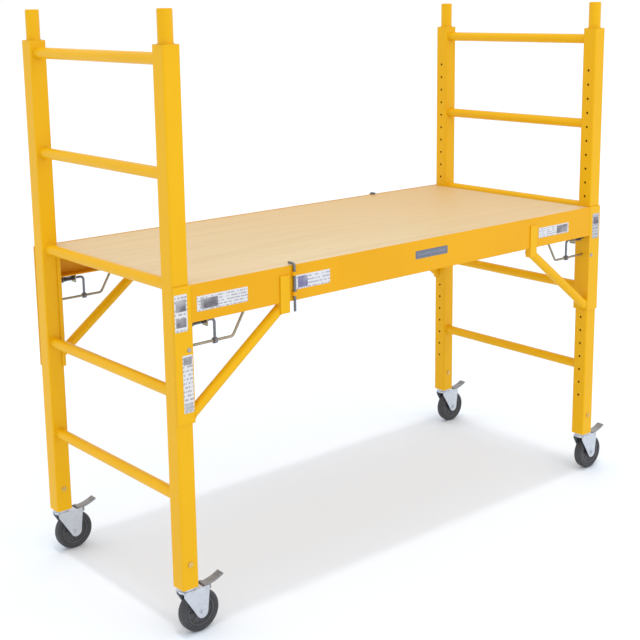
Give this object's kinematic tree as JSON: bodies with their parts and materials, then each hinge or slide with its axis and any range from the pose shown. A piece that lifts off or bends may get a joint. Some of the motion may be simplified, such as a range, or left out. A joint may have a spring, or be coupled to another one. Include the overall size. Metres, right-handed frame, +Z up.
{
  "type": "frame scaffold section",
  "caption": "Rolling frame scaffold section: ladder end frames on braked swivel casters carry a pin-locked plywood platform between diagonally braced side rails.",
  "frame": {"origin": "centre of the bounding box's footprint, on the floor the wheels stand on", "axes": "+X along the platform, towards the end the casters trail to; +Y across it, towards the rear side rail; +Z up"},
  "size_m": [1.9788, 0.8116, 1.766],
  "materials": {
    "frame_paint": "semi-gloss yellow powder coat",
    "plywood": "sanded plywood, sealed",
    "spring_steel": "oiled spring steel",
    "zinc_hardware": "zinc plated",
    "caster_zinc": "bright zinc plated",
    "wheel_hub": "moulded core",
    "wheel_tyre": "solid tread",
    "brake_pedal": "dark grey coat"
  },
  "bodies": {
    "frame": {"post_fl": "frame_paint", "post_rl": "frame_paint", "post_fr": "frame_paint", "post_rr": "frame_paint", "coupling_pins": "frame_paint", "rungs_left": "frame_paint", "rungs_right": "frame_paint", "side_rail_front": "frame_paint", "side_rail_rear": "frame_paint", "bracket_fl": "frame_paint", "bracket_rl": "frame_paint", "bracket_fr": "frame_paint", "bracket_rr": "frame_paint", "brace_fl": "frame_paint", "brace_rl": "frame_paint", "brace_fr": "frame_paint", "brace_rr": "frame_paint", "deck_panel": "plywood", "deck_joists": "frame_paint", "deck_screws": "zinc_hardware", "lock_spring_fl": "spring_steel", "lock_spring_rl": "spring_steel", "lock_spring_fr": "spring_steel", "lock_spring_rr": "spring_steel", "lock_guides": "zinc_hardware", "latch_clips": "frame_paint", "caster_stems": "caster_zinc", "caster_pins": "caster_zinc"},
    "caster_fl": {"fork_fl": "caster_zinc", "axle_fl": "caster_zinc"},
    "wheel_fl": {"hub_fl": "wheel_hub", "tyre_fl": "wheel_tyre"},
    "brake_fl": {"pedal_fl": "brake_pedal"},
    "lock_fl": {"lock_pin_fl": "zinc_hardware"},
    "caster_rl": {"fork_rl": "caster_zinc", "axle_rl": "caster_zinc"},
    "wheel_rl": {"hub_rl": "wheel_hub", "tyre_rl": "wheel_tyre"},
    "brake_rl": {"pedal_rl": "brake_pedal"},
    "lock_rl": {"lock_pin_rl": "zinc_hardware"},
    "caster_fr": {"fork_fr": "caster_zinc", "axle_fr": "caster_zinc"},
    "wheel_fr": {"hub_fr": "wheel_hub", "tyre_fr": "wheel_tyre"},
    "brake_fr": {"pedal_fr": "brake_pedal"},
    "lock_fr": {"lock_pin_fr": "zinc_hardware"},
    "caster_rr": {"fork_rr": "caster_zinc", "axle_rr": "caster_zinc"},
    "wheel_rr": {"hub_rr": "wheel_hub", "tyre_rr": "wheel_tyre"},
    "brake_rr": {"pedal_rr": "brake_pedal"},
    "lock_rr": {"lock_pin_rr": "zinc_hardware"},
    "latch_front": {"deck_latch_front": "zinc_hardware"},
    "latch_rear": {"deck_latch_rear": "zinc_hardware"}
  },
  "joints": [
    {"name": "swivel_fl", "type": "hinge", "parent": "frame", "child": "caster_fl", "pos_m": [-0.9624, -0.3618, 0.14], "axis": [0, 0, 1], "continuous": true},
    {"name": "wheel_spin_fl", "type": "hinge", "parent": "caster_fl", "child": "wheel_fl", "pos_m": [-0.9224, -0.3618, 0.0635], "axis": [0, 1, 0], "continuous": true},
    {"name": "brake_fl", "type": "hinge", "parent": "caster_fl", "child": "brake_fl", "pos_m": [-0.9044, -0.3618, 0.131], "axis": [0, 1, 0], "range_deg": [0, 8]},
    {"name": "lock_slide_fl", "type": "slide", "parent": "frame", "child": "lock_fl", "axis": [1, 0, 0], "range_m": [0, 0.025], "stiffness_N_per_m": 300, "springref_m": -0.02, "deforming": ["lock_spring_fl"]},
    {"name": "swivel_rl", "type": "hinge", "parent": "frame", "child": "caster_rl", "pos_m": [-0.9624, 0.3618, 0.14], "axis": [0, 0, 1], "continuous": true},
    {"name": "wheel_spin_rl", "type": "hinge", "parent": "caster_rl", "child": "wheel_rl", "pos_m": [-0.9224, 0.3618, 0.0635], "axis": [0, 1, 0], "continuous": true},
    {"name": "brake_rl", "type": "hinge", "parent": "caster_rl", "child": "brake_rl", "pos_m": [-0.9044, 0.3618, 0.131], "axis": [0, 1, 0], "range_deg": [0, 8]},
    {"name": "lock_slide_rl", "type": "slide", "parent": "frame", "child": "lock_rl", "axis": [1, 0, 0], "range_m": [0, 0.025], "stiffness_N_per_m": 300, "springref_m": -0.02, "deforming": ["lock_spring_rl"]},
    {"name": "swivel_fr", "type": "hinge", "parent": "frame", "child": "caster_fr", "pos_m": [0.8664, -0.3618, 0.14], "axis": [0, 0, 1], "continuous": true},
    {"name": "wheel_spin_fr", "type": "hinge", "parent": "caster_fr", "child": "wheel_fr", "pos_m": [0.9064, -0.3618, 0.0635], "axis": [0, 1, 0], "continuous": true},
    {"name": "brake_fr", "type": "hinge", "parent": "caster_fr", "child": "brake_fr", "pos_m": [0.9244, -0.3618, 0.131], "axis": [0, 1, 0], "range_deg": [0, 8]},
    {"name": "lock_slide_fr", "type": "slide", "parent": "frame", "child": "lock_fr", "axis": [-1, 0, 0], "range_m": [0, 0.025], "stiffness_N_per_m": 300, "springref_m": -0.02, "deforming": ["lock_spring_fr"]},
    {"name": "swivel_rr", "type": "hinge", "parent": "frame", "child": "caster_rr", "pos_m": [0.8664, 0.3618, 0.14], "axis": [0, 0, 1], "continuous": true},
    {"name": "wheel_spin_rr", "type": "hinge", "parent": "caster_rr", "child": "wheel_rr", "pos_m": [0.9064, 0.3618, 0.0635], "axis": [0, 1, 0], "continuous": true},
    {"name": "brake_rr", "type": "hinge", "parent": "caster_rr", "child": "brake_rr", "pos_m": [0.9244, 0.3618, 0.131], "axis": [0, 1, 0], "range_deg": [0, 8]},
    {"name": "lock_slide_rr", "type": "slide", "parent": "frame", "child": "lock_rr", "axis": [-1, 0, 0], "range_m": [0, 0.025], "stiffness_N_per_m": 300, "springref_m": -0.02, "deforming": ["lock_spring_rr"]},
    {"name": "latch_turn_front", "type": "hinge", "parent": "frame", "child": "latch_front", "pos_m": [-0.573, -0.3988, 0.98], "axis": [0, 0, 1], "range_deg": [-90, 0]},
    {"name": "latch_turn_rear", "type": "hinge", "parent": "frame", "child": "latch_rear", "pos_m": [0.477, 0.3988, 0.98], "axis": [0, 0, 1], "range_deg": [-90, 0]}
  ]
}
